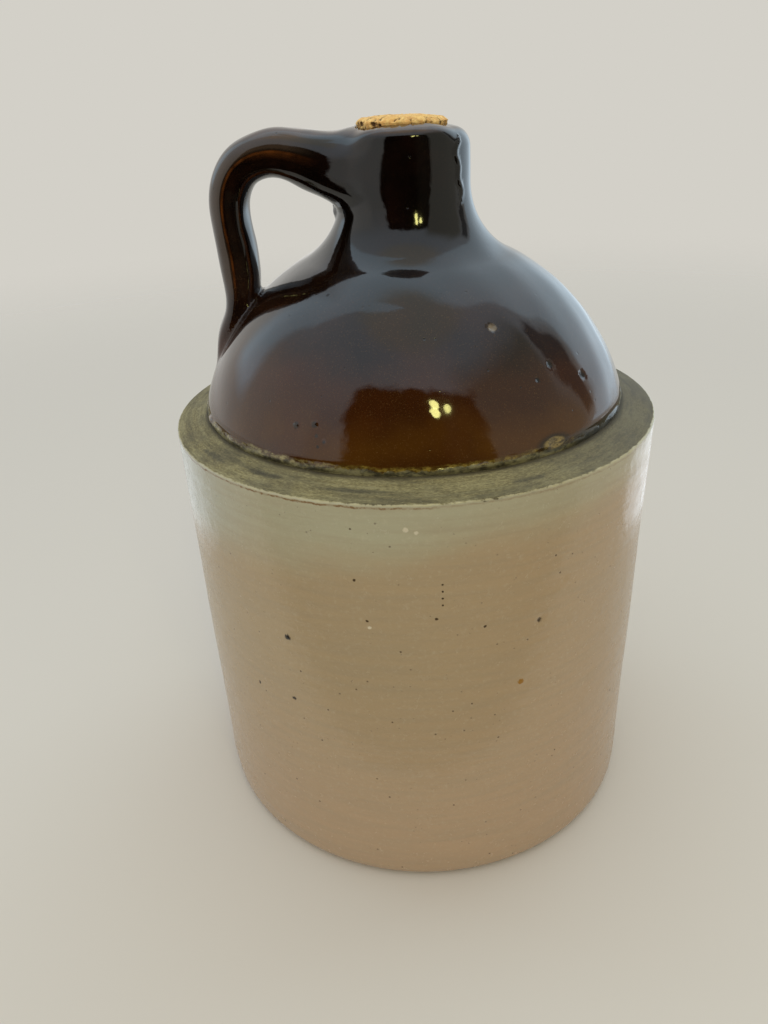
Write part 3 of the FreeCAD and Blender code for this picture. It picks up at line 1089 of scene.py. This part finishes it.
def stoneware():
    """Cream Bristol glaze on the wall, and brushed bare clay on the ledge above it."""
    p = Paint("stoneware")
    turned = p.noise(2.6, 3, 0.55, p.rings(6, 0, 1))
    specks = p.dots(5.2, 0.045, 0.09, 14, 0.46, 0.6)
    pins = p.dots(2.3, 0.07, 0.13, 7, 0.5, 0.68)
    grain = p.noise(0.42, 5, 0.7, p.rings(28, 1, 1))
    chips = p.noise(2.6, 5, 0.75)
    reach = p.frayed(p.radius, chips, 1.6)
    level = p.frayed(p.z, p.noise(4, 4, 0.7), 1.6)
    inside = p.fall(reach, BODY_RADIUS - 0.45, BODY_RADIUS - 0.2)
    on_top = p.product(inside, p.ramp(p.z, BODY_HEIGHT - 1.2, BODY_HEIGHT - 0.7))
    base = p.mix(on_top, cream_colour(p, turned, specks, pins), clay_colour(p, grain))
    # Pale line on the rim where the glaze stops, a painted highlight made ragged by chips, and a brown one
    # under it
    rim = p.product(p.ramp(reach, BODY_RADIUS - 0.6, BODY_RADIUS - 0.35),
                    p.ramp(level, BODY_HEIGHT - 0.4, BODY_HEIGHT - 0.1), p.ramp(chips, 0.36, 0.5, 0.3, 1))
    base = p.coat(base, p.product(rim, 0.6), (178, 166, 124))
    under = p.band(level, (BODY_HEIGHT - 1.5, BODY_HEIGHT - 1.1), (BODY_HEIGHT - 0.9, BODY_HEIGHT - 0.5))
    broken = p.product(p.ramp(chips, 0.4, 0.6, 0.3, 1), p.ramp(p.x, -10, 10, 0.85, 0.3))
    base = p.coat(base, p.product(under, broken), (112, 74, 34))
    foot = p.product(p.ramp(p.z, 0.4, 3.6, 0.55, 0), p.ramp(p.radius, BODY_RADIUS - 6, BODY_RADIUS, 0.3, 1))
    base = p.coat(base, foot, (110, 84, 60))
    p.give("Base Color", base)
    rough = p.add("Mix")
    glaze_rough = p.ramp(p.noise(3, 3, 0.6), 0.3, 0.8, 0.16, 0.30)
    for index, value in ((0, on_top), (2, glaze_rough), (3, 0.78)):
        p.set(rough.inputs[index], value)
    p.give("Roughness", rough.outputs[0])
    p.bump((turned, 0.12), (p.noise(8, 2, 0.5), 0.25), (p.noise(1.2, 3, 0.55), 0.05),
           (p.math("MAXIMUM", specks, pins), -0.15), (p.product(grain, on_top), 0.12))
    return p.material


def cork_bark():
    """Weathered cork: tan and orange with dark pores and cracks, painted shade in its notches and worm
    holes, and painted shade where it goes into the mouth.
    """
    p = Paint("cork_bark")
    grain = p.noise(1.8, 5, 0.65, p.stretched(1, 2.2, 1), 0.4)
    base = p.mix(p.ramp(grain, 0.3, 0.7), colour(218, 162, 92), colour(253, 214, 138))
    base = p.coat(base, p.ramp(p.noise(5, 3), 0.5, 0.75, 0, 0.6), (214, 150, 74))
    pores = p.dots(2.4, 0.10, 0.24, 4, 0.42, 0.6, p.stretched(1, 2, 1))
    base = p.coat(base, p.product(pores, 0.9), (84, 48, 20))
    # Darker with the depth of each pore, crack, notch and worm hole: the cork's own dark pores, and painted
    # shade in the deeper places
    base = p.coat(base, p.ramp(p.attribute("cut"), 0.35, 1.1, 0, 0.9), (70, 40, 18))
    hollows = p.ramp(p.noise(2.6, 3, 0.6, p.stretched(1, 1, 1.4)), 0.56, 0.64)
    worn = p.ramp(p.x, -12, 2, 1, 0.25)
    base = p.coat(base, p.product(hollows, worn, 0.6), (92, 52, 22))
    # Painted shade on the cork's lowest shown part, where it goes into the mouth
    low = p.ramp(p.z, LIP_HEIGHT - 0.8, LIP_HEIGHT + 0.8, 0.85, 0)
    p.give("Base Color", p.coat(base, low, (60, 44, 26)))
    p.give("Roughness", 0.86)
    p.bump((grain, 0.35), (p.noise(0.5, 3, 0.6), 0.12), (pores, -0.3))
    return p.material


# ---- stage, in metres; materials stay in millimetres
FLOOR_SHADE = colour(208, 198, 186)
BACKGROUND = colour(211, 208, 200)
FLOOR_RADIUS = 3
FLOOR_SIDES = 64
CARD_HALF_WIDTH = 0.75

# Side view of the card, from its near edge along the floor and up a slanted bend to its top
CARD_LINE = [(-0.14, 0.003), (-0.68, 0.003), (-0.78, 0.1), (-0.78, 1.16)]


def add_plain(name, points, faces, material):
    """Mesh object in metres."""
    mesh = bpy.data.meshes.new(name)
    mesh.from_pydata(points, [], faces)
    mesh.materials.append(material)
    holder = bpy.data.objects.new(name, mesh)
    bpy.context.scene.collection.objects.link(holder)
    return holder


def build_floor():
    """Pale round floor that fades out into the pale background."""
    p = Paint("pale_floor")
    p.give("Base Color", FLOOR_SHADE)
    p.give("Roughness", 0.95)
    p.give("Specular IOR Level", 0)
    p.fade(p.ramp(p.radius, 500, 1500))
    turns = [2 * math.pi * i / FLOOR_SIDES for i in range(FLOOR_SIDES)]
    points = [(FLOOR_RADIUS * math.sin(turn), FLOOR_RADIUS * math.cos(turn), 0) for turn in turns]
    floor = add_plain("floor", points, [list(range(FLOOR_SIDES))[::-1]], p.material)


def build_card():
    """Black card on the viewer's side, seen only in the glaze, so that it mirrors something dark."""
    p = Paint("black_card")
    to_right = p.ramp(p.x, 170, 330)
    p.give("Base Color", p.mix(to_right, (0.004, 0.003, 0.003, 1), (0.05, 0.042, 0.03, 1)))
    p.give("Specular IOR Level", 0)
    wavy = p.noise(200, 3, 0.6)
    aside = p.frayed(p.math("ABSOLUTE", p.math("SUBTRACT", p.x, 50)), wavy, 300)
    up = p.frayed(p.z, wavy, 300)
    p.fade(p.largest(p.ramp(aside, 560, 660), p.ramp(up, 920, 1060)))
    points = [(across, y, z) for y, z in CARD_LINE for across in (-CARD_HALF_WIDTH, CARD_HALF_WIDTH)]
    faces = [(2 * i, 2 * i + 1, 2 * i + 3, 2 * i + 2) for i in range(len(CARD_LINE) - 1)]
    card = add_plain("black_card", points, faces, p.material)
    card.visible_camera = False
    card.visible_diffuse = False
    card.visible_shadow = False


# ---- lights
# Three-bulb lamp in front, to the right: how far aside and how high each bulb hangs
BULBS = [(0.19, 0.73), (0.30, 0.71), (0.17, 0.65)]

# Low bluish lights beside the wall, seen only in the glaze: name, angle and power
EDGE_LIGHTS = [("edge_right", 120, 0.052), ("edge_left", -118, 0.026)]


def lamp(name, place, target, size, power, shade):
    """Area light aimed at a target: a disc where one size is given, a rectangle where two are."""
    light = bpy.data.lights.new(name, "AREA")
    light.shape = "DISK" if len(size) == 1 else "RECTANGLE"
    light.size = size[0]
    if len(size) == 2:
        light.size_y = size[1]
    light.energy = power
    light.color = shade
    holder = bpy.data.objects.new(name, light)
    bpy.context.scene.collection.objects.link(holder)
    holder.location = place
    holder.rotation_mode = "QUATERNION"
    holder.rotation_quaternion = (Vector(target) - Vector(place)).to_track_quat("-Z", "Y")
    return holder


def room_colour(p):
    """Pale room with a paler ceiling, bluish windows behind on both sides and a dim doorway.

    `around` is the direction in degrees from the front to the right, and `rise` the one upwards.
    """
    x, y, z = p.split(p.place)
    around = p.math("DEGREES", p.math("ARCTAN2", x, p.math("MULTIPLY", y, -1)))
    around = p.frayed(around, p.noise(0.5, 2), 14)
    rise = p.math("DEGREES", p.math("ARCSINE", z))
    base = p.mix(p.ramp(rise, 8, 55), (0.66, 0.66, 0.63, 1), (0.84, 0.92, 1, 1))
    ahead = p.product(p.band(around, (28, 44), (90, 104)), p.fall(rise, 40, 60))
    base = p.mix(ahead, base, (0.45, 0.44, 0.38, 1))
    base = p.mix(p.ramp(rise, 64, 76, 0, 0.8), base, (0.95, 0.93, 0.82, 1))
    aside = p.product(p.fall(around, -66, -52), p.band(rise, (-14, -4), (26, 40)))
    base = p.mix(p.product(aside, 0.6), base, (0.95, 0.93, 0.88, 1))
    left = p.product(p.band(around, (-138, -126), (-112, -104)), p.ramp(rise, 6, 14))
    behind = p.ramp(p.math("ABSOLUTE", around), 104, 122)
    high = p.product(behind, p.band(rise, (46, 58), (70, 82)))
    base = p.mix(p.product(p.largest(left, high), 0.8), base, (1.15, 1.45, 1.68, 1))
    # The right window's near edge lies further forward at the foot than higher up
    leaning = p.math("ADD", around, p.ramp(rise, -8, 8, 9, 0))
    right = p.product(p.ramp(leaning, 111, 117), p.fall(around, 152, 170), p.fall(rise, 62, 78))
    base = p.mix(right, base, (1.18, 1.42, 1.60, 1))
    door = p.product(p.band(around, (98, 101), (108, 111)), p.band(rise, (0, 6), (38, 44)))
    return p.mix(p.product(door, 0.8), base, (0.05, 0.05, 0.05, 1))


def build_world():
    """The room lights the jug, while the camera sees a plain pale background."""
    world = bpy.data.worlds.new("studio")
    world.use_nodes = True
    bpy.context.scene.world = world
    p = Nodes(world.node_tree)
    p.place = p.add("TexCoord").outputs["Generated"]
    background = p.add("Background")
    seen = p.add("LightPath").outputs["Is Camera Ray"]
    p.set(background.inputs["Color"], p.mix(seen, room_colour(p), BACKGROUND))
    p.set(p.add("OutputWorld").inputs[0], background.outputs[0])


def build_lights():
    """Three bulbs in front, two low lights at the sides and a soft fill."""
    for i, (aside, up) in enumerate(BULBS):
        lamp("bulb_%d" % (i + 1), place=(aside, -0.74, up), target=(0, 0, 0.19), size=(0.074,),
             power=0.27, shade=(1, 0.94, 0.32))
    for name, angle, power in EDGE_LIGHTS:
        edge = lamp(name, place=on_ring(angle, 0.27, 0.05), target=(0, 0, 0.05), size=(0.16, 0.10),
                    power=power, shade=(0.80, 0.90, 1))
        edge.visible_camera = False
        edge.visible_diffuse = False
    fill = lamp("fill", place=(0.15, -0.9, 1.3), target=(0, 0, 0.1), size=(0.9, 0.9),
                power=3, shade=(1, 0.98, 0.95))
    fill.visible_glossy = False


# ---- camera
CAMERA_BACK = 0.28309
CAMERA_HEIGHT = 0.26517
CAMERA_HEADING = 2.6727
CAMERA_TILT = 28.1375
CAMERA_ROLL = -3.0165
CAMERA_LENS = 27.04
SENSOR_WIDTH = 36


def build_camera():
    """Wide lens close in front and above; heading to the left, tilt downwards and a slight roll."""
    camera = bpy.data.cameras.new("camera")
    camera.sensor_fit = "AUTO"
    camera.sensor_width = SENSOR_WIDTH
    camera.lens = CAMERA_LENS
    camera.clip_start = 0.01
    camera.clip_end = 20
    holder = bpy.data.objects.new("camera", camera)
    bpy.context.scene.collection.objects.link(holder)
    holder.matrix_world = (Matrix.Translation((0, -CAMERA_BACK, CAMERA_HEIGHT))
                           @ Matrix.Rotation(math.radians(CAMERA_HEADING), 4, "Z")
                           @ Matrix.Rotation(math.radians(90 - CAMERA_TILT), 4, "X")
                           @ Matrix.Rotation(math.radians(CAMERA_ROLL), 4, "Z"))
    bpy.context.scene.camera = holder


# ---- scene
bpy.context.scene.view_settings.view_transform = "Standard"
clay = stoneware()
pieces = [build_glazed_top(brown_glaze()), build_wall(clay), build_ledge(clay)]
for piece in pieces:
    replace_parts(piece, "jug")
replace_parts(build_cork(cork_bark()), "cork")
build_floor()
build_card()
build_world()
build_lights()
build_camera()
